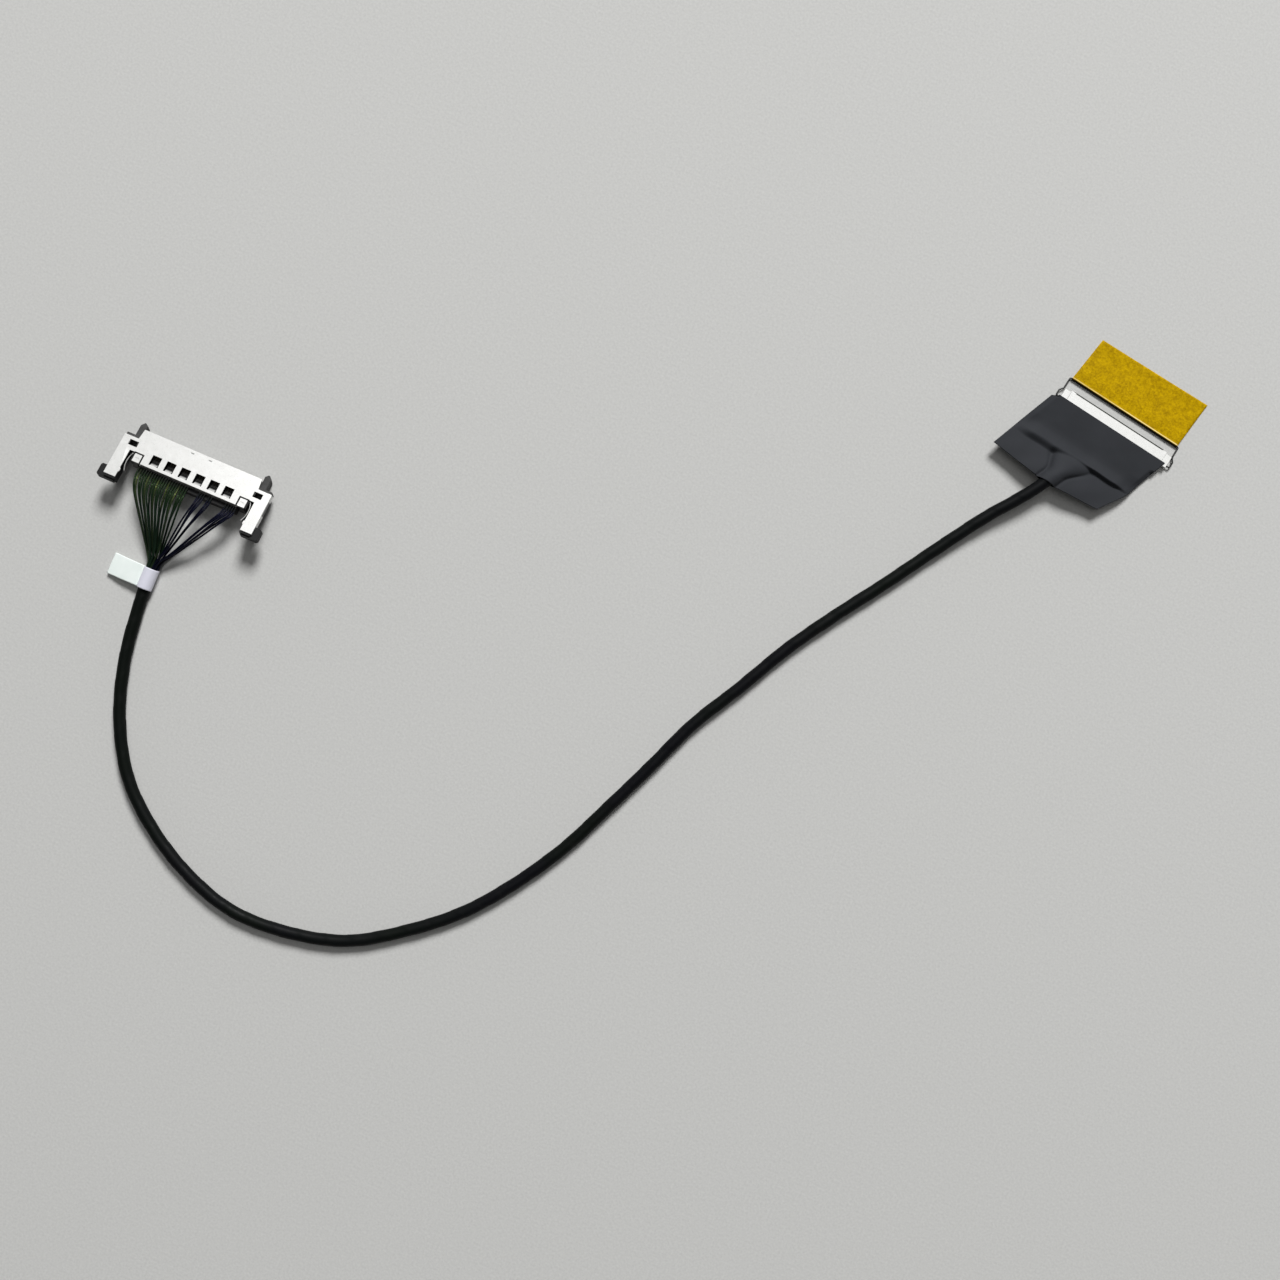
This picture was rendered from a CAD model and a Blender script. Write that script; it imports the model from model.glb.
"""Display cable assembly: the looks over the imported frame. Sizes are in millimetres times MM."""
import math
import random

import bpy
from mathutils import Euler, Matrix, Vector


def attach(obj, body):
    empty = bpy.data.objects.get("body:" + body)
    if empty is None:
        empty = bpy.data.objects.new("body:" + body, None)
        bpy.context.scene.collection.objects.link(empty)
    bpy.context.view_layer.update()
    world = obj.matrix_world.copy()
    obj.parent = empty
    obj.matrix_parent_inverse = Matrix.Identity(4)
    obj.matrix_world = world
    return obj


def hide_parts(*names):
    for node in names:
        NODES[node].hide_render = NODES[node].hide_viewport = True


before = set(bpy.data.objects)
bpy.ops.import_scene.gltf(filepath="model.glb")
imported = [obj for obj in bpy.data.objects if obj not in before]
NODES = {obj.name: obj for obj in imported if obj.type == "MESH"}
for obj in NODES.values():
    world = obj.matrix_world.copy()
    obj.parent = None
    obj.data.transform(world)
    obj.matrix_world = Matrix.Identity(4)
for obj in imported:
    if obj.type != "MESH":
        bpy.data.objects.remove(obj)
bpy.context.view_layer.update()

MM = 0.001
BODY, BAR = "cable", "pull_bar"

# ---------------------------------------------------------------- sizes shared with the part

CONTACT_PITCH = 0.5
BOARD_ROW = 20.0
BOARD_AT = (-78.8, -30.7)
BOARD_TILT = math.radians(16)
POST_REACH, POST_LOW = 1.4, 0.35
LID_Z, TILE_X, TILE_Y = 2.7, 10.9, 5.85
WIRE_D = 0.36
WIRE_Z, WIRE_START, BARS_REAR, LEDGE_REAR = 1.85, -5.92, 6.9, 7.8
GREEN = list(range(21))
BLUE = [25, 26, 27, 29, 30, 36, 37, 38, 39, 40]
GREEN_TURN, BLUE_TURN = (0.3, 0.93), (0.1, 0.85)
BUNDLE = [2, 5, 6, 5, 6, 5, 2]
BUNDLE_PITCH = WIRE_D + 0.06
COLUMN_PITCH = BUNDLE_PITCH * math.sqrt(3) / 2
LABEL_T, LABEL_LEN, LABEL_FRONT, FLAG_W = 0.12, 4.2, -54.1, 6.5
LABEL_BORE = 5.3 * BUNDLE_PITCH + WIRE_D + 0.12
BUNDLE_AT = (-79.8, LABEL_BORE / 2 + LABEL_T)
FAN_END, SHEATH_START = -53.6, -56.0
WIRE_SPREAD, WIRE_CLOSE = 2.5, 0.083   # width where the wires arrive, and their closest step there
LEVEL_ASIDE = 0.34                     # sideways share of a wire's level, while it hangs loose
BRAID_R, BRAID_RIPPLE = 0.125, 0.008
WRAP_TURN, WRAP_STEP = 5.2, 0.05       # pitch and edge height of the sheath's spiral tape

SHEATH_D = 2.4
# The cable's route, the same list as the part's: x, y and height of the underside
ROUTE = [
    (-79.75, -56, 0.25), (-79.55, -61, 0), (-78, -72, 0), (-74.5, -83, 0), (-68.5, -93, 0),
    (-60, -100.5, 0), (-50, -106, 0), (-39.5, -109, 0), (-28, -108.5, 0), (-17, -105.5, 0),
    (-7, -99, 0), (1.5, -91.5, 0), (8.5, -82.5, 0), (14.5, -72.5, 0), (19, -62.5, 0),
    (23.5, -52, 0), (28, -41, 0), (33.5, -31, 0), (39, -20.5, 0), (45, -11, 0),
    (51.5, -1.5, 0), (58, 8.5, 0.2), (64, 17.5, 0.8), (69, 24, 1.4), (72.3, 28.9, 1.7),
    (74.6, 32.7, 0.75)]

PANEL_AT, PANEL_TURN = (81.0, 45.0), math.radians(-10)
PANEL_H, TAPE_T = 1.15, 0.08
PANEL_Z = TAPE_T + 0.02
PANEL_MID = PANEL_Z + PANEL_H / 2
PANEL_HALF, EAR_OUT = 10.9, 12.2
PIVOT = (-2.1, PANEL_Z + 0.5)          # y and z of the pull bar's axis in the panel plug's frame
BAR_D, BAR_Y, BAR_BEND = 0.32, 2.25, 0.3
BAR_PIN, BAR_SHOULDER, BAR_CORNER = EAR_OUT - 0.75, EAR_OUT + 0.85, EAR_OUT + 0.25
BAR_DIP = 0.28
TAB_LEN, TAB_T, TAB_HALF = 9.8, 0.06, 12.1

# The view: straight down, turned about the view axis
VIEW_AT, VIEW_HEIGHT, VIEW_ROLL = (12.2, -30.0), 268.7, math.radians(23)
SENSOR = 36
VIEW_LENS = SENSOR * 1385 / 1280
BACKDROP = (0.45, 0.45, 0.4455)        # grey of the world near the horizon
FLOOR_SIZE = 3.0                       # in metres


def mix(a, b, t):
    return a + (b - a) * t


def clamp(t, low=0.0, high=1.0):
    return max(low, min(high, t))


def smooth(t):
    t = clamp(t)
    return t * t * (3 - 2 * t)


def along(points, x):
    """Value at x of the polyline through the points (x, y)."""
    for (x0, y0), (x1, y1) in zip(points, points[1:]):
        if x <= x1 or (x1, y1) == points[-1]:
            return mix(y0, y1, clamp((x - x0) / (x1 - x0)))


def spline(points, steps):
    """Smooth curve through the points, `steps` parts between neighbours."""
    p = [Vector(q) for q in points]
    out = []
    for i in range(len(p) - 1):
        a, b, c, d = p[max(i - 1, 0)], p[i], p[i + 1], p[min(i + 2, len(p) - 1)]
        for k in range(steps):
            t = k / steps
            out.append(0.5 * (2 * b + (c - a) * t + (2 * a - 5 * b + 4 * c - d) * t * t
                              + (3 * b - a - 3 * c + d) * t ** 3))
    return out + [p[-1]]


def on_board(x, y, z):
    """A point of the board plug's frame, in the shared frame."""
    y, z = y - POST_REACH, z - POST_LOW
    c, s = math.cos(BOARD_TILT), math.sin(BOARD_TILT)
    return Vector((BOARD_AT[0] + x, BOARD_AT[1] + POST_REACH + y * c + z * s, z * c - y * s))


def on_panel(x, y, z):
    """A point of the panel plug's frame, in the shared frame."""
    c, s = math.cos(PANEL_TURN), math.sin(PANEL_TURN)
    return Vector((PANEL_AT[0] + x * c - y * s, PANEL_AT[1] + x * s + y * c, z))


def turned(rotation, origin):
    """Rotation and location for a Mapping node that gives a plug's own coordinates, in metres."""
    turn = Euler(rotation).to_matrix()
    return rotation, tuple(-(turn @ origin) * MM)


BOARD_AXES = turned((BOARD_TILT, 0, 0), on_board(0, 0, 0))
PANEL_AXES = turned((0, 0, -PANEL_TURN), on_panel(0, 0, 0))


# ---------------------------------------------------------------- meshes

def add_mesh(name, verts, faces, material):
    """A new smooth-shaded object from points in millimetres."""
    mesh = bpy.data.meshes.new(name)
    mesh.from_pydata([Vector(v) * MM for v in verts], [], faces)
    mesh.validate()
    mesh.polygons.foreach_set("use_smooth", [True] * len(mesh.polygons))
    mesh.materials.append(material)
    ob = bpy.data.objects.new(name, mesh)
    bpy.context.scene.collection.objects.link(ob)
    return ob


def loft(rings, closed_ends=True):
    """Vertices and faces of a tube over equal rings of points."""
    n = len(rings[0])
    verts = [p for ring in rings for p in ring]
    faces = []
    for k in range(len(rings) - 1):
        for i in range(n):
            j = (i + 1) % n
            faces.append((k * n + i, k * n + j, (k + 1) * n + j, (k + 1) * n + i))
    if closed_ends:
        faces.append(tuple(range(n - 1, -1, -1)))
        faces.append(tuple((len(rings) - 1) * n + i for i in range(n)))
    return verts, faces


def frames(path):
    """(point, side, up) along the path, with `up` kept as near +Z as it goes."""
    out = []
    for i, p in enumerate(path):
        d = (path[min(i + 1, len(path) - 1)] - path[max(i - 1, 0)]).normalized()
        side = d.cross(Vector((0, 0, 1))).normalized()
        out.append((p, side, side.cross(d)))
    return out


def tube(path, radius, sides):
    """Rings round the path; radius is a number or a function of (share, angle, length so far)."""
    rings, run, last = [], 0.0, path[0]
    for k, (p, side, up) in enumerate(frames(path)):
        run += (p - last).length
        last = p
        ring = []
        for i in range(sides):
            a = 2 * math.pi * i / sides
            r = radius(k / (len(path) - 1), a, run) if callable(radius) else radius
            ring.append(p + r * (math.cos(a) * side + math.sin(a) * up))
        rings.append(ring)
    return loft(rings)


# ---------------------------------------------------------------- materials

class Shader:
    """A Principled material with short calls for the nodes that the surfaces need."""

    def __init__(self, name, color, rough, metal=0.0, **sockets):
        self.material = bpy.data.materials.new(name)
        self.material.use_nodes = True
        self.tree = self.material.node_tree
        self.bsdf = self.tree.nodes["Principled BSDF"]
        self.set(self.bsdf, **{"Base Color": (*color, 1), "Roughness": rough, "Metallic": metal})
        self.set(self.bsdf, **sockets)
        self.coords = self.tree.nodes.new("ShaderNodeTexCoord")

    def set(self, node, **values):
        for key, value in values.items():
            node.inputs[key].default_value = value
        return node

    def node(self, kind, **values):
        return self.set(self.tree.nodes.new("ShaderNode" + kind), **values)

    def link(self, a, b):
        self.tree.links.new(a, b)

    def noise(self, scale, detail=3.0, stretch=None, rough=0.55):
        """Noise with features of 1/scale metres; stretch scales the axes."""
        n = self.node("TexNoise", Scale=scale, Detail=detail, Roughness=rough)
        source = self.coords.outputs["Object"]
        if stretch:
            m = self.node("Mapping", Scale=stretch)
            self.link(source, m.inputs["Vector"])
            source = m.outputs["Vector"]
        self.link(source, n.inputs["Vector"])
        return n.outputs["Fac"]

    def wave(self, scale, axis, rotate):
        """Stripes of the given scale across one axis."""
        m = self.node("Mapping", Rotation=rotate)
        self.link(self.coords.outputs["Object"], m.inputs["Vector"])
        w = self.node("TexWave", Scale=scale)
        w.bands_direction = axis
        self.link(m.outputs["Vector"], w.inputs["Vector"])
        return w.outputs["Fac"]

    def ramp(self, fac, low, high, a, b):
        """Colour a to b as fac goes from low to high."""
        r = self.node("ValToRGB")
        for stop, position, color in zip(r.color_ramp.elements, (low, high), (a, b)):
            stop.position, stop.color = position, (*color, 1)
        self.link(fac, r.inputs["Fac"])
        return r.outputs["Color"]

    def range(self, fac, low, high, a, b):
        """Number a to b as fac goes from low to high."""
        r = self.node("MapRange", **{"From Min": low, "From Max": high, "To Min": a, "To Max": b})
        self.link(fac, r.inputs["Value"])
        return r.outputs["Result"]

    def axis(self, name, axes=None):
        """One coordinate in metres: the shared frame's, or a plug's own where axes are given."""
        source = self.coords.outputs["Object"]
        if axes:
            m = self.node("Mapping", Rotation=axes[0], Location=axes[1])
            self.link(source, m.inputs["Vector"])
            source = m.outputs["Vector"]
        parts = self.tree.nodes.new("ShaderNodeSeparateXYZ")
        self.link(source, parts.inputs["Vector"])
        return parts.outputs[name]

    def band(self, value, low, high, edge):
        """1 between low and high, in metres, with soft ends."""
        return self.math("MULTIPLY", self.range(value, low, low + edge, 0, 1),
                         self.range(value, high - edge, high, 1, 0))

    def front_marks(self):
        """1 on the two shallow marks behind the front edge of the board plug's upper shell."""
        x, y = self.axis("X", BOARD_AXES), self.axis("Y", BOARD_AXES)
        pair = self.math("MAXIMUM", self.band(x, -2.35 * MM, -1.6 * MM, 0.1 * MM),
                         self.band(x, 1.35 * MM, 2.1 * MM, 0.1 * MM))
        return self.math("MULTIPLY", pair, self.band(y, -0.84 * MM, -0.56 * MM, 0.06 * MM))

    def tile_seam(self):
        """1 along the narrow gap round each corner tile of the board plug."""
        x = self.math("ABSOLUTE", self.axis("X", BOARD_AXES), 0)
        x = self.math("ABSOLUTE", self.math("SUBTRACT", x, TILE_X * MM), 0)
        y = self.math("ABSOLUTE", self.math("ADD", self.axis("Y", BOARD_AXES), TILE_Y * MM), 0)
        out = self.math("MAXIMUM", self.math("SUBTRACT", x, 0.75 * MM),
                        self.math("SUBTRACT", y, 0.85 * MM))
        return self.band(out, -0.05 * MM, 0.30 * MM, 0.04 * MM)

    def blend(self, fac, a, color):
        """Colour a, going to the fixed color as fac goes from 0 to 1."""
        m = self.tree.nodes.new("ShaderNodeMix")
        m.data_type = "RGBA"
        self.link(fac, m.inputs["Factor"])
        self.link(a, m.inputs[6])
        m.inputs[7].default_value = (*color, 1)
        return m.outputs[2]

    def math(self, kind, a, b):
        m = self.tree.nodes.new("ShaderNodeMath")
        m.operation = kind
        for socket, value in zip(m.inputs, (a, b)):
            if isinstance(value, (int, float)):
                socket.default_value = value
            else:
                self.link(value, socket)
        return m.outputs[0]

    def color(self, out):
        self.link(out, self.bsdf.inputs["Base Color"])

    def rough(self, out):
        self.link(out, self.bsdf.inputs["Roughness"])

    def bump(self, height, distance, strength=1.0, normal=None):
        b = self.node("Bump", Strength=strength, Distance=distance * MM)
        self.link(height, b.inputs["Height"])
        if normal is not None:
            self.link(normal, b.inputs["Normal"])
        self.link(b.outputs["Normal"], self.bsdf.inputs["Normal"])
        return b.outputs["Normal"]


def shell_metal(name, board=False):
    """Bright tin-plated sheet with fine rolling lines and faint stains.

    On the board plug, the fingers go dark below the plate, as do the seams round the tiles.
    On the panel plug, the front edge is dark.
    """
    s = Shader(name, (0.86, 0.87, 0.84), 0.34, 0.4 if board else 0.12)
    shade = 0.75 if board else 1.0
    color = s.ramp(s.noise(900, 4), 0.3, 0.75, tuple(shade * c for c in (0.89, 0.89, 0.865)),
                   tuple(shade * c for c in (0.97, 0.97, 0.95)))
    if board:
        low = s.range(s.axis("Z", BOARD_AXES), (LID_Z - 0.12) * MM, (LID_Z - 0.4) * MM, 0, 1)
        inside = s.band(s.axis("Y", BOARD_AXES), -6.6 * MM, -3.5 * MM, 0.05 * MM)
        color = s.blend(s.math("MULTIPLY", low, inside), color, (0.012, 0.012, 0.012))
        half = s.math("ABSOLUTE", s.axis("X", BOARD_AXES), 0)
        behind = s.math("MULTIPLY", s.range(s.axis("Y", BOARD_AXES), -6.95 * MM, -7.0 * MM, 0, 1),
                        s.range(half, 12.0 * MM, 12.2 * MM, 1, 0))
        color = s.blend(behind, color, (0.05, 0.05, 0.05))
        color = s.blend(s.tile_seam(), color, (0.006, 0.006, 0.006))
        color = s.blend(s.front_marks(), color, (0.30, 0.31, 0.30))
    else:
        half = s.math("ABSOLUTE", s.axis("X", PANEL_AXES), 0)
        edge = s.math("MULTIPLY", s.range(s.axis("Y", PANEL_AXES), -0.17 * MM, -0.12 * MM, 0, 1),
                      s.range(half, 9.9 * MM, 10.0 * MM, 1, 0))
        color = s.blend(edge, color, (0.03, 0.04, 0.025))
    s.color(color)
    s.rough(s.range(s.noise(2500, 3, (1, 12, 1)), 0.3, 0.7, 0.26, 0.38))
    s.bump(s.noise(5000, 3, (1, 14, 1)), 0.004, 0.5)
    return s.material


def spring_steel():
    """Duller sheet of the springs, which sit in the shade of the arms."""
    s = Shader("spring_steel", (0.30, 0.30, 0.29), 0.4, 0.85)
    s.color(s.ramp(s.noise(1500, 3), 0.3, 0.7, (0.22, 0.22, 0.21), (0.36, 0.36, 0.35)))
    return s.material


def plug_plastic(name, board=False):
    """Dark grey moulded plastic with a fine grain, black in the board plug's rear recesses."""
    s = Shader(name, (0.04, 0.04, 0.04), 0.55, **{"Specular IOR Level": 0.2})
    color = s.ramp(s.noise(1200, 4), 0.3, 0.7, (0.034, 0.034, 0.033), (0.056, 0.056, 0.055))
    if board:
        half = s.math("ABSOLUTE", s.axis("X", BOARD_AXES), 0)
        middle = s.range(half, 13.3 * MM, 13.6 * MM, 1, 0)
        rear = s.range(s.axis("Y", BOARD_AXES), -3.0 * MM, -3.6 * MM, 0, 1)
        color = s.blend(s.math("MULTIPLY", middle, rear), color, (0.006, 0.006, 0.006))
        ends = s.range(s.axis("Y", BOARD_AXES), -6.8 * MM, -7.4 * MM, 0, 1)
        color = s.blend(ends, color, (0.004, 0.004, 0.004))
    s.color(color)
    s.bump(s.noise(9000, 3), 0.006, 0.5)
    return s.material


def contact_metal():
    """Gold blades; the board plug's soldered tails are dark with flux."""
    s = Shader("contact_metal", (0.80, 0.58, 0.26), 0.26, 1.0)
    gold = s.ramp(s.noise(3000, 3), 0.3, 0.7, (0.72, 0.50, 0.20), (0.88, 0.68, 0.34))
    tails = s.range(s.axis("Y", BOARD_AXES), -3.4 * MM, -4.2 * MM, 0, 1)
    near = s.range(s.axis("X"), 0, 1 * MM, 1, 0)
    s.color(s.blend(s.math("MULTIPLY", tails, near), gold, (0.03, 0.028, 0.024)))
    return s.material


def ground_metal():
    """Dull bar stock with solder smears."""
    s = Shader("ground_metal", (0.16, 0.16, 0.155), 0.5, 0.8)
    s.color(s.ramp(s.noise(1500, 3), 0.35, 0.7, (0.09, 0.09, 0.085), (0.20, 0.20, 0.19)))
    s.rough(s.range(s.noise(2500, 4), 0.3, 0.7, 0.38, 0.6))
    s.bump(s.noise(4000, 4), 0.01, 0.6)
    return s.material


def jacket(name, dark, light, near):
    """Thin wire jacket, paler and flecked with varnish where it leaves the plug."""
    s = Shader(name, light, 0.4, **{"Specular IOR Level": 0.12})
    run = s.axis("Y", BOARD_AXES)
    base = s.ramp(s.noise(420, 3), 0.35, 0.7, dark, light)
    patch = s.math("MULTIPLY", s.range(run, -15.5 * MM, -9 * MM, 0, 1), s.noise(900, 2))
    base = s.blend(s.range(patch, 0.2, 0.6, 0, 1), base, near)
    fleck = s.math("MULTIPLY", s.band(run, -9.9 * MM, -8.6 * MM, 0.4 * MM),
                   s.range(s.noise(2600, 2), 0.58, 0.64, 0, 1))
    base = s.blend(fleck, base, tuple(min(1, 3.5 * c + 0.03) for c in near))
    s.color(s.blend(s.range(run, -8.3 * MM, -7.7 * MM, 0, 0.8), base, (0.004, 0.006, 0.004)))
    s.rough(s.range(s.noise(1600, 2), 0.3, 0.7, 0.34, 0.5))
    s.bump(s.noise(2200, 2), 0.006, 0.5)
    return s.material


def label_film():
    """White film: the flag a little green, the wrap a little lavender."""
    s = Shader("label_film", (0.78, 0.82, 0.79), 0.42)
    flag = s.ramp(s.noise(400, 3), 0.3, 0.7, (0.82, 0.89, 0.86), (0.88, 0.94, 0.91))
    wrap = s.range(s.axis("X"), -0.0813, -0.0810, 0, 1)
    s.color(s.blend(wrap, flag, (0.70, 0.70, 0.79)))
    s.bump(s.noise(700, 3), 0.01, 0.5)
    return s.material


def sheath_wrap():
    """Black wrapped tape: satin, with a faint green and blue tint and scuffs."""
    s = Shader("sheath_wrap", (0.005, 0.005, 0.005), 0.5, **{"Specular IOR Level": 0.08})
    tint = s.ramp(s.noise(45, 2), 0.4, 0.6, (0.0035, 0.0050, 0.0038), (0.0040, 0.0042, 0.0054))
    s.color(s.blend(s.range(s.noise(400, 4), 0.55, 0.75, 0, 0.6), tint, (0.009, 0.009, 0.009)))
    s.rough(s.range(s.noise(900, 4), 0.3, 0.7, 0.42, 0.6))
    s.bump(s.noise(1500, 4), 0.012, 0.5)
    return s.material


def cover_cloth():
    """Black cloth tape: a fine plain weave with a dull sheen."""
    s = Shader("cover_cloth", (0.026, 0.027, 0.031), 0.8, **{"Specular IOR Level": 0.2})
    warp, weft = s.wave(1000, "X", PANEL_AXES[0]), s.wave(1000, "Y", PANEL_AXES[0])
    weave = s.math("MULTIPLY", warp, weft)
    s.color(s.ramp(s.noise(120, 4), 0.3, 0.7, (0.0230, 0.0250, 0.0290), (0.0285, 0.0305, 0.0355)))
    first = s.bump(weave, 0.010, 0.5)
    s.bump(s.noise(300, 3), 0.02, 0.4, first)
    return s.material


def bar_wire():
    """Thin dark steel wire with draw marks."""
    s = Shader("bar_wire", (0.035, 0.035, 0.034), 0.38, 0.6)
    s.rough(s.range(s.noise(2500, 3, (6, 1, 1)), 0.3, 0.7, 0.30, 0.48))
    return s.material


def pull_film():
    """Amber film with a mottled adhesive: dark over the bar, a bright line along the fold."""
    s = Shader("pull_film", (0.42, 0.26, 0.002), 0.45, **{"Specular IOR Level": 0.03})
    grain = s.math("ADD", s.math("MULTIPLY", s.noise(2300, 4, rough=0.7), 0.65),
                   s.math("MULTIPLY", s.noise(800, 3), 0.35))
    film = s.ramp(grain, 0.36, 0.64, (0.31, 0.182, 0.0006), (0.60, 0.380, 0.0012))
    run = s.axis("Y", PANEL_AXES)
    line = s.math("MULTIPLY", s.band(run, (BAR_Y + 0.14) * MM, (BAR_Y + 0.42) * MM, 0.1 * MM),
                  s.range(s.noise(160, 2), 0.35, 0.6, 0.25, 1))
    film = s.blend(line, film, (0.85, 0.68, 0.30))
    over_bar = s.range(run, (BAR_Y + 0.08) * MM, (BAR_Y + 0.18) * MM, 1, 0)
    s.color(s.blend(over_bar, film, (0.012, 0.008, 0.002)))
    s.rough(s.range(s.noise(900, 3), 0.3, 0.7, 0.34, 0.5))
    s.bump(s.noise(1400, 4), 0.02, 0.5)
    return s.material


def floor_paper():
    """Plain pale floor, which goes over into the backdrop's grey far from the part."""
    s = Shader("floor_paper", (0.565, 0.565, 0.55), 0.9, **{"Specular IOR Level": 0.2})
    s.color(s.ramp(s.noise(2200, 3), 0.3, 0.7, (0.53, 0.53, 0.517), (0.60, 0.60, 0.585)))
    s.bump(s.noise(1500, 3), 0.05, 0.4)
    away = s.tree.nodes.new("ShaderNodeVectorMath")
    away.operation = "LENGTH"
    s.link(s.coords.outputs["Object"], away.inputs[0])
    seen = s.tree.nodes.new("ShaderNodeLightPath").outputs["Is Camera Ray"]
    far = s.math("MULTIPLY", seen, s.range(away.outputs["Value"], 0.25, 1.3, 0, 1))
    grey = s.node("Emission", Color=(*BACKDROP, 1), Strength=1.0)
    both = s.tree.nodes.new("ShaderNodeMixShader")
    s.link(far, both.inputs[0])
    s.link(s.bsdf.outputs["BSDF"], both.inputs[1])
    s.link(grey.outputs["Emission"], both.inputs[2])
    s.link(both.outputs["Shader"], s.tree.nodes["Material Output"].inputs["Surface"])
    return s.material


MATERIALS = {
    "shell_metal": shell_metal("shell_metal"), "plug_plastic": plug_plastic("plug_plastic"),
    "contact_metal": contact_metal(), "ground_metal": ground_metal(),
    "green_jacket": jacket("green_jacket", dark=(0.004, 0.011, 0.006), light=(0.007, 0.019, 0.009),
                           near=(0.013, 0.030, 0.008)),
    "olive_jacket": jacket("olive_jacket", dark=(0.008, 0.015, 0.007), light=(0.017, 0.030, 0.012),
                           near=(0.048, 0.066, 0.018)),
    "blue_jacket": jacket("blue_jacket", dark=(0.001, 0.0014, 0.006), light=(0.0015, 0.002, 0.010),
                          near=(0.002, 0.003, 0.014)),
    "board_shell": shell_metal("board_shell", True),
    "board_plastic": plug_plastic("board_plastic", True),
    "spring_steel": spring_steel(),
    "label_film": label_film(), "sheath_wrap": sheath_wrap(), "cover_cloth": cover_cloth(),
    "bar_wire": bar_wire(), "pull_film": pull_film()}


# ---------------------------------------------------------------- pieces

def sheath():
    """The wrapped cable: a tube with the shallow steps of its spiral tape."""
    route = spline([(x, y, z + SHEATH_D / 2) for x, y, z in ROUTE], 30)

    def radius(share, angle, run):
        lap = (run / WRAP_TURN + angle / (2 * math.pi)) % 1.0
        return SHEATH_D / 2 - WRAP_STEP * smooth(lap * 1.15) + 0.012 * math.sin(run * 0.7)

    verts, faces = tube(route, radius, 28)
    ob = add_mesh("cable_sheath_wrap", verts, faces, MATERIALS["sheath_wrap"])
    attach(ob, BODY)
    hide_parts("cable_sheath")


def column_level(i):
    """Column of the i-th wire in the bundle, and its level from the middle."""
    for column, count in enumerate(BUNDLE):
        if i < count:
            return column, i - (count - 1) / 2
        i -= count


def gather(t, turn):
    """Share of the sideways way done at t: eased in, straight, eased into the bundle."""
    a, b = turn
    k = 2 / (1 + b - a)
    if t < a:
        return k / 2 / a * t * t
    return k * (t - a / 2) if t < b else 1 - k / 2 / (1 - b) * (1 - t) ** 2


def wire_x(i):
    """Place of the i-th wire along the board plug's row of contacts."""
    return (GREEN + BLUE)[i] * CONTACT_PITCH - BOARD_ROW / 2


def wire_path(i):
    """The i-th wire's points, from the board plug through the fan into the bundle."""
    x = wire_x(i)
    start = on_board(x, -BARS_REAR - 0.25, WIRE_Z)
    out = on_board(x, -LEDGE_REAR - 0.15, WIRE_Z)
    column, level = column_level(i)
    turn = GREEN_TURN if i < len(GREEN) else BLUE_TURN
    to_x = BUNDLE_AT[0] + (column - (len(BUNDLE) - 1) / 2) * COLUMN_PITCH
    lift, reach = level * BUNDLE_PITCH, out.y - FAN_END
    slope = math.tan(BOARD_TILT) * reach
    spread = BUNDLE_AT[0] + (i / (len(GREEN) + len(BLUE) - 1) - 0.5) * WIRE_SPREAD
    rng = random.Random(3 + i)
    pair = (0.5 if i % 2 == 0 else -0.5) * rng.uniform(0.45, 0.85)
    sway, phase = rng.uniform(-0.06, 0.06), rng.uniform(0, 6.28)
    points = [start]
    for k in range(17):
        t = k / 16
        z = (out.z * (1 + 2 * t) * (1 - t) ** 2 + slope * t * (1 - t) ** 2
             + BUNDLE_AT[1] * t * t * (3 - 2 * t) + lift * min(1, 2 * t))
        aim = mix(spread, to_x, smooth((t - 0.7) / 0.3))
        apart = mix(CONTACT_PITCH, WIRE_CLOSE, gather(t, turn))
        loose = smooth((t - 0.1) / 0.35) * (1 - smooth((t - 0.75) / 0.25))
        aside = (pair * apart + LEVEL_ASIDE * lift * min(1, 2 * t)) * loose
        aside += sway * math.sin(math.pi * t) * math.sin(phase + 5 * t)
        across = mix(out.x, aim, gather(t, turn)) + aside
        points.append(Vector((across, mix(out.y, FAN_END, t), z)))
    return points + [Vector((to_x, SHEATH_START + 0.01, BUNDLE_AT[1] + lift))]


def wires():
    for i in range(len(GREEN) + len(BLUE)):
        green = i < len(GREEN)
        number = i + 1 if green else i + 1 - len(GREEN)
        name = f"{'green' if green else 'blue'}_wire_{number:02d}"
        points = wire_path(i)
        slot = "green_jacket" if green else "blue_jacket"
        material = MATERIALS["olive_jacket" if green and number % 4 == 2 else slot]
        verts, faces = tube(spline(points, 4), WIRE_D / 2, 14)
        ob = add_mesh(name + "_jacket", verts, faces, material)
        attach(ob, BODY)
        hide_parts(name)


def braids():
    """Bare braid of each wire, from between the ground bars to its jacket."""
    verts, faces = [], []
    for i in range(len(GREEN) + len(BLUE)):
        path = [on_board(wire_x(i), mix(WIRE_START, -BARS_REAR - 0.4, k / 12), WIRE_Z)
                for k in range(13)]

        def radius(share, angle, run):
            return BRAID_R + BRAID_RIPPLE * math.sin(6 * angle + 30 * run)

        more, ring_faces = tube(path, radius, 12)
        faces += [tuple(k + len(verts) for k in f) for f in ring_faces]
        verts += more
    ob = add_mesh("wire_braids", verts, faces, MATERIALS["ground_metal"])
    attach(ob, BODY)


def strip(line, thickness):
    """Closed outline of a film whose middle follows the points (x, z)."""
    left, right = [], []
    for k, (x, z) in enumerate(line):
        (x0, z0), (x1, z1) = line[max(k - 1, 0)], line[min(k + 1, len(line) - 1)]
        n = math.hypot(x1 - x0, z1 - z0)
        dx, dz = -(z1 - z0) / n * thickness / 2, (x1 - x0) / n * thickness / 2
        left.append((x + dx, z + dz))
        right.append((x - dx, z - dz))
    return left + right[::-1]


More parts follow.
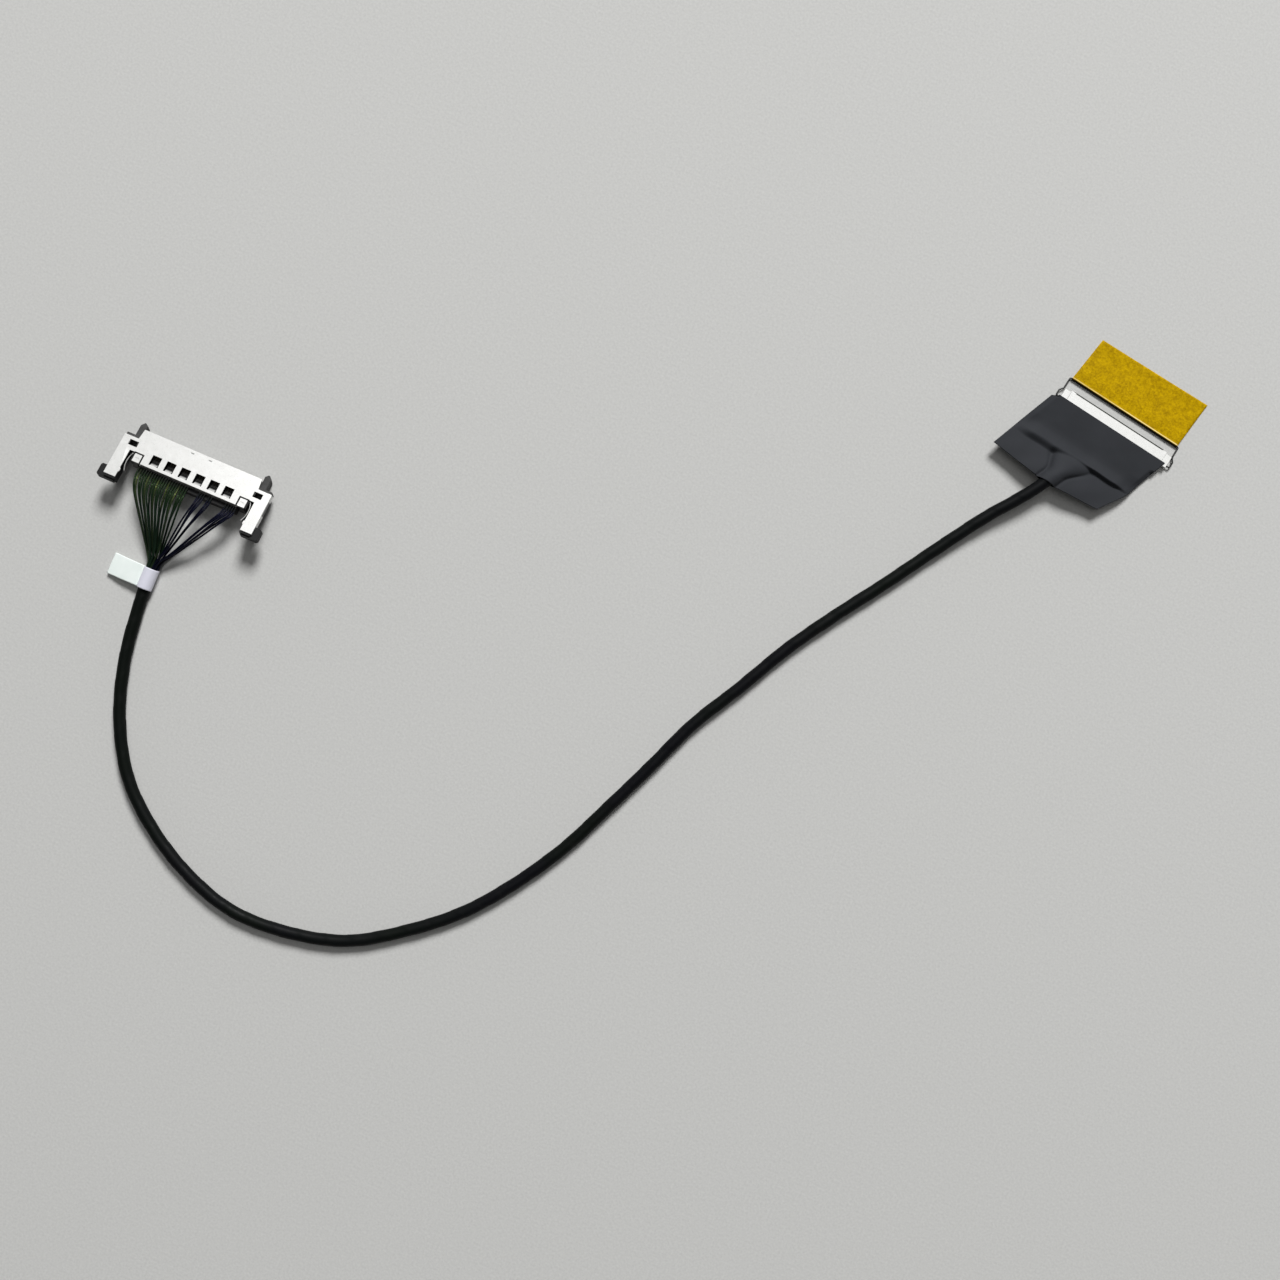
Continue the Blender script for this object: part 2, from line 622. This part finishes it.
def film_mesh(name, rings, material):
    """Loft over equal strip outlines, with its two end edges closed by quads."""
    verts, faces = loft(rings, closed_ends=False)
    n, last = len(rings[0]), len(rings) - 1
    for i in range(n // 2 - 1):
        a, b, c, d = i + 1, i, n - 1 - i, n - 2 - i
        faces.append((a, b, c, d))
        faces.append(tuple(last * n + k for k in (d, c, b, a)))
    return add_mesh(name, verts, faces, material)


def label():
    """White film wrapped once round the bundle, its ends stuck together as a flag."""
    r, root = LABEL_BORE / 2 + LABEL_T / 2, LABEL_BORE / 2 + LABEL_T
    open_half = math.degrees(math.asin(0.13 / r))
    steps = 26

    def flag(layer):
        line = []
        for k in range(steps + 1):
            s = k / steps
            fall = 1.01 * s - 0.14 * math.sin(math.pi * s) + 0.03 * math.sin(2.6 * math.pi * s)
            gap = (0.02 + 0.05 * (1 - s) ** 6) * layer
            line.append((-root - 0.04 - (FLAG_W + 0.03 * layer) * s,
                         0.04 - fall + gap + layer * LABEL_T / 2))
        return line

    wrap = [(r * math.cos(math.radians(a)), r * math.sin(math.radians(a)))
            for a in (mix(180 - open_half, -180 + open_half, k / 48) for k in range(49))]
    outline = strip(flag(1)[::-1] + wrap + flag(-1), LABEL_T)
    rings, rows = [], 20
    for j in range(rows + 1):
        v = j / rows
        ring = []
        for x, z in outline:
            far = clamp((-x - root) / FLAG_W)
            skew = 0.16 * far * far * (v - 0.5) + 0.05 * far * math.sin(3 * v)
            y = LABEL_FRONT - LABEL_LEN * v + 0.12 * far * (0.5 - v)
            ring.append(Vector((BUNDLE_AT[0] + x, y, BUNDLE_AT[1] + z + skew)))
        rings.append(ring)
    ob = film_mesh("label_film_wrap", rings, MATERIALS["label_film"])
    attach(ob, BODY)
    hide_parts("label_flag")


# ---- cover tapes: the same outline and heights as the solids, on a finer grid

# The panel plug's frame, with v to the rear
CLEAR, STEP, REAR, FRONT = 2.6, (10.7, 11.4), 16.85, 1.95
TAIL, LEAN = 1.1, math.tan(math.radians(21.5))
CABLE_MID = (17.4, -5.8)               # v and x of a point on the cable's axis
COVER_ARCH = 2.25                      # rise of the middle surface towards the rear
RIDGE_HALF = (3.2, 1.6)                # half width over the cable, front and rear
FRONT_HALF = EAR_OUT + 0.45            # reach of the part in front of the ears' slot
LEFT = [(CLEAR - 0.3, FRONT_HALF), (CLEAR, PANEL_HALF + 2.85), (REAR, PANEL_HALF + 7.55)]
RIGHT = [(FRONT, 0.8), (10.8, -1.9), (12.2, -2.6), (REAR, -5.65)]


def left_edge(v):
    return -along(LEFT, v)


def right_edge(v):
    return PANEL_HALF + along(RIGHT, v)


def cover_mid(v):
    return PANEL_MID + COVER_ARCH * smooth((v - 7.5) / 10.5)


def cable_x(v):
    return CABLE_MID[1] + (CABLE_MID[0] - v) * LEAN


def ridge_half(v):
    return mix(*RIDGE_HALF, smooth((v - STEP[1]) / 4.5))


def lift(v):
    return mix(PANEL_H / 2 + 0.01, SHEATH_D / 2 + 0.08, smooth((v - 8.5) / 4))


def tail(v):
    return TAIL * smooth((v - STEP[1]) / (REAR - STEP[1]))


def slab(x, v, left, right):
    """Height over the plug and the wires' comb, closed at the side edges behind the ears."""
    inset_l, inset_r = clamp(x - left), clamp(right - x)
    side_l = 1 if v < CLEAR - 0.3 else mix(1, smooth(inset_l), clamp((v - CLEAR + 0.3) / 0.3))
    side_r = 1 if v < 4.5 else mix(1, smooth(inset_r), clamp((v - 4.5) / 0.6))
    wave = 0.03 * math.sin(0.9 * x + 0.4) * math.sin(0.8 * v)
    corner = mix(0.25, 1, smooth(min(x - left, right - x) / 3.2 - 0.2)) if v > 7 else 1
    corner = mix(1, corner, smooth((v - 7) / 3))
    run = 0.7 + 1.1 * clamp((-2 - x) / 6)
    down = smooth((v - STEP[0] + 0.05 * math.sin(1.1 * x)) / run)
    return (lift(v) + wave * smooth((v - 4.8) / 2)) * side_l * side_r * corner * (1 - down)


def ridge(x, v):
    """Height over the gathered wires and the cable, as a tent with soft feet."""
    left = x < cable_x(v)
    s = abs(x - cable_x(v)) / ((1.2 if left else 1.28) * ridge_half(v))
    return lift(v) * max(0, 1 - s * s) ** (0.8 if left else 1.1) * smooth((v - STEP[0] + 1) / 1)


def cover_height(x, v, left, right):
    """Rounded meeting of the two, over a thin seam where the tapes stick together."""
    a, b = slab(x, v, left, right), ridge(x, v)
    soft = 0.5 * clamp(max(a, b) / 0.4) * smooth((v - 8.5) / 2) + 1e-6
    return max(0.02, max(a, b) + max(0, soft - abs(a - b)) ** 2 / (4 * soft))


def cover_sag(x, v, left, right):
    """Fall of the free wings towards their corners, with a slow ripple."""
    c, w = cable_x(v), ridge_half(v)
    out = clamp((c - w - x) / (c - w - left) if x < c else (x - c - w) / (right - c - w))
    behind = smooth((v - STEP[1]) / (REAR - STEP[1]))
    valley = (0.3 if x < c else 0.12) * math.exp(-((abs(x - c) / w - 1.32) / 0.22) ** 2)
    droop = (0.4 if x < c else 0.6) * smooth(out) + 0.06 * math.sin(0.8 * x + 0.7 * v) * min(1, 4 * out)
    return behind * droop + valley * smooth((v - STEP[0]) / 1.5)


def cover_tape(side):
    rows, columns = 130, 120
    rings = []
    for j in range(rows + 1):
        v = mix(FRONT, REAR, j / rows)
        left, right, t = left_edge(v), right_edge(v), tail(v)
        foot_l = cable_x(v + t) - ridge_half(v + t)
        foot_r = cable_x(v + t) + ridge_half(v + t)
        inner, outer = [], []
        for i in range(columns + 1):
            x = mix(left, right, i / columns)
            share = min(clamp((x - left) / (foot_l - left)),
                        clamp((right - x) / (right - foot_r)))
            u = v + t * share
            height = cover_height(x, u, left, right)
            mid = cover_mid(u) - cover_sag(x, u, left, right)
            inner.append(on_panel(x, -u, mid + side * height))
            outer.append(on_panel(x, -u, mid + side * (height + TAPE_T)))
        rings.append(inner + outer[::-1] if side > 0 else outer + inner[::-1])
    name = "top" if side > 0 else "bottom"
    ob = film_mesh(name + "_tape_cloth", rings, MATERIALS["cover_cloth"])
    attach(ob, BODY)
    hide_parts(name + "_tape")


def rounded_path(corners, radius, steps=8):
    """Polyline through the corners, with each turn an arc."""
    p = [Vector((*c, 0)) for c in corners]
    out = [p[0]]
    for a, b, c in zip(p, p[1:], p[2:]):
        d, e = (b - a).normalized(), (c - b).normalized()
        turn = math.atan2(d.x * e.y - d.y * e.x, d.dot(e))
        start = b - d * radius * math.tan(abs(turn) / 2)
        side = Vector((-d.y, d.x, 0)) * math.copysign(radius, turn)
        for k in range(steps + 1):
            out.append(start + side + Matrix.Rotation(turn * k / steps, 3, "Z") @ -side)
    return out + [p[-1]]


def bar_z(y):
    """The springy wire dips a little from its pins to its front."""
    return PIVOT[1] - BAR_DIP * clamp((y - PIVOT[0]) / (BAR_Y - PIVOT[0]))


def pull_bar():
    y0 = PIVOT[0]
    half = [(BAR_PIN, y0), (BAR_SHOULDER, y0), (BAR_SHOULDER, y0 + 1.2),
            (BAR_CORNER, y0 + 2), (BAR_CORNER, BAR_Y)]
    corners = half + [(-x, y) for x, y in reversed(half)]
    path = [on_panel(p.x, p.y, bar_z(p.y)) for p in rounded_path(corners, BAR_BEND)]
    verts, faces = tube(path, BAR_D / 2, 20)
    ob = add_mesh("pull_bar_wire", verts, faces, MATERIALS["bar_wire"])
    for face in ob.data.polygons[-2:]:
        face.use_smooth = False
    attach(ob, BAR)
    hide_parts("pull_bar")


def pull_tab():
    """Amber film folded round the bar, its two layers lying forward."""
    end_z = 0.16
    r = BAR_D / 2 + 0.015 + TAB_T / 2
    bar = bar_z(BAR_Y)
    fold = [(BAR_Y + r * math.cos(a), bar + r * math.sin(a))
            for a in (math.radians(mix(58, 302, k / 20)) for k in range(21))]
    layers = []
    for k in range(31):
        s = k / 30
        z = mix(bar + 0.02, end_z - TAB_T, smooth(s ** 0.8)) + 0.02 * math.sin(7 * s)
        layers.append((BAR_Y + 0.5 + (TAB_LEN - 0.5) * s, z))
    gap = TAB_T / 2 + 0.004
    outline = strip([(y, z + gap) for y, z in layers[::-1]] + fold
                    + [(y, z - gap) for y, z in layers], TAB_T)
    columns, rings = 60, []
    for j in range(columns + 1):
        u = j / columns
        ring = []
        for y, z in outline:
            s = clamp((y - BAR_Y) / TAB_LEN)
            x = mix(-TAB_HALF, TAB_HALF, u) + s * mix(1.0, 0.7, u)
            wave = 0.03 * s * math.sin(6 * u + 2 * s) + 0.015 * s * math.sin(17 * u)
            ring.append(on_panel(x, y + s * mix(-0.2, 0.2, u), z + wave))
        rings.append(ring)
    ob = film_mesh("pull_tab_film", rings, MATERIALS["pull_film"])
    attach(ob, BAR)
    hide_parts("pull_tape")


def dress(node, material, bevel=0.0, segments=2):
    """A carried-over CAD node: its material, and softly broken edges."""
    ob = NODES[node]
    ob.data.materials.clear()
    ob.data.materials.append(MATERIALS[material])
    for slot in ob.material_slots:
        slot.material = MATERIALS[material]
    if bevel:
        weld = ob.modifiers.new("weld", "WELD")
        weld.merge_threshold = 1e-6
        edge = ob.modifiers.new("edges", "BEVEL")
        edge.width, edge.segments = bevel * MM, segments
        edge.limit_method, edge.angle_limit = "ANGLE", math.radians(30)
        edge.harden_normals = True
        edge.use_clamp_overlap = True


def dress_all():
    for node in ("board_plug_top_shell", "board_plug_bottom_shell"):
        dress(node, "board_shell", 0.06, 3)
    for node in ("panel_plug_top_shell", "panel_plug_bottom_shell"):
        dress(node, "shell_metal", 0.03, 2)
    for node in ("lock_spring_left", "lock_spring_right"):
        dress(node, "spring_steel", 0.02, 2)
    dress("board_plug_housing", "board_plastic", 0.05, 2)
    dress("panel_plug_housing", "plug_plastic")
    for plug in ("board", "panel"):
        dress(plug + "_plug_contacts", "contact_metal", 0.02, 1)
        dress(plug + "_plug_ground_bar_upper", "ground_metal", 0.04, 2)
        dress(plug + "_plug_ground_bar_lower", "ground_metal", 0.04, 2)
    dress("panel_wire_fan", "blue_jacket")


# ---------------------------------------------------------------- stage

def stage():
    half = FLOOR_SIZE / MM / 2
    floor = add_mesh("floor", [(-half, -half, 0), (half, -half, 0), (half, half, 0), (-half, half, 0)],
                     [(0, 1, 2, 3)], floor_paper())

    world = bpy.data.worlds.new("world")
    bpy.context.scene.world = world
    world.use_nodes = True
    # pale backdrop near the horizon, dim overhead
    nodes, links = world.node_tree.nodes, world.node_tree.links
    back = nodes["Background"]
    back.inputs["Color"].default_value = (1.0, 1.0, 0.99, 1)
    parts, rise = nodes.new("ShaderNodeSeparateXYZ"), nodes.new("ShaderNodeMapRange")
    links.new(nodes.new("ShaderNodeTexCoord").outputs["Generated"], parts.inputs["Vector"])
    links.new(parts.outputs["Z"], rise.inputs["Value"])
    for key, value in {"From Min": 0.1, "From Max": 0.45, "To Min": BACKDROP[0], "To Max": 0.06}.items():
        rise.inputs[key].default_value = value
    links.new(rise.outputs["Result"], back.inputs["Strength"])

    def lamp(name, toward, distance, size, power):
        data = bpy.data.lights.new(name, "AREA")
        data.shape, data.size, data.energy = "DISK", size, power
        ob = bpy.data.objects.new(name, data)
        middle = Vector((VIEW_AT[0], VIEW_AT[1], 0)) * MM
        direction = Vector(toward).normalized()
        ob.location = middle + direction * distance
        ob.rotation_euler = direction.to_track_quat("Z", "Y").to_euler()
        bpy.context.scene.collection.objects.link(ob)

    c, s = math.cos(VIEW_ROLL), math.sin(VIEW_ROLL)
    right, up = Vector((c, s, 0)), Vector((-s, c, 0))
    lamp("key", up * 0.9 + right * 0.3 + Vector((0, 0, 0.85)), 3.0, 1.0, 106.0)
    lamp("overhead", up * 0.25 + Vector((0, 0, 1)), 2.4, 1.7, 7.0)

    camera = bpy.data.cameras.new("camera")
    camera.lens, camera.sensor_width = VIEW_LENS, SENSOR
    camera.clip_start, camera.clip_end = 0.001, 20
    ob = bpy.data.objects.new("camera", camera)
    ob.location = Vector((VIEW_AT[0], VIEW_AT[1], VIEW_HEIGHT)) * MM
    ob.rotation_euler = (0, 0, VIEW_ROLL)
    bpy.context.scene.collection.objects.link(ob)
    bpy.context.scene.camera = ob
    bpy.context.scene.view_settings.view_transform = "Standard"


stage()
sheath()
wires()
braids()
label()
cover_tape(1)
cover_tape(-1)
pull_bar()
pull_tab()
dress_all()
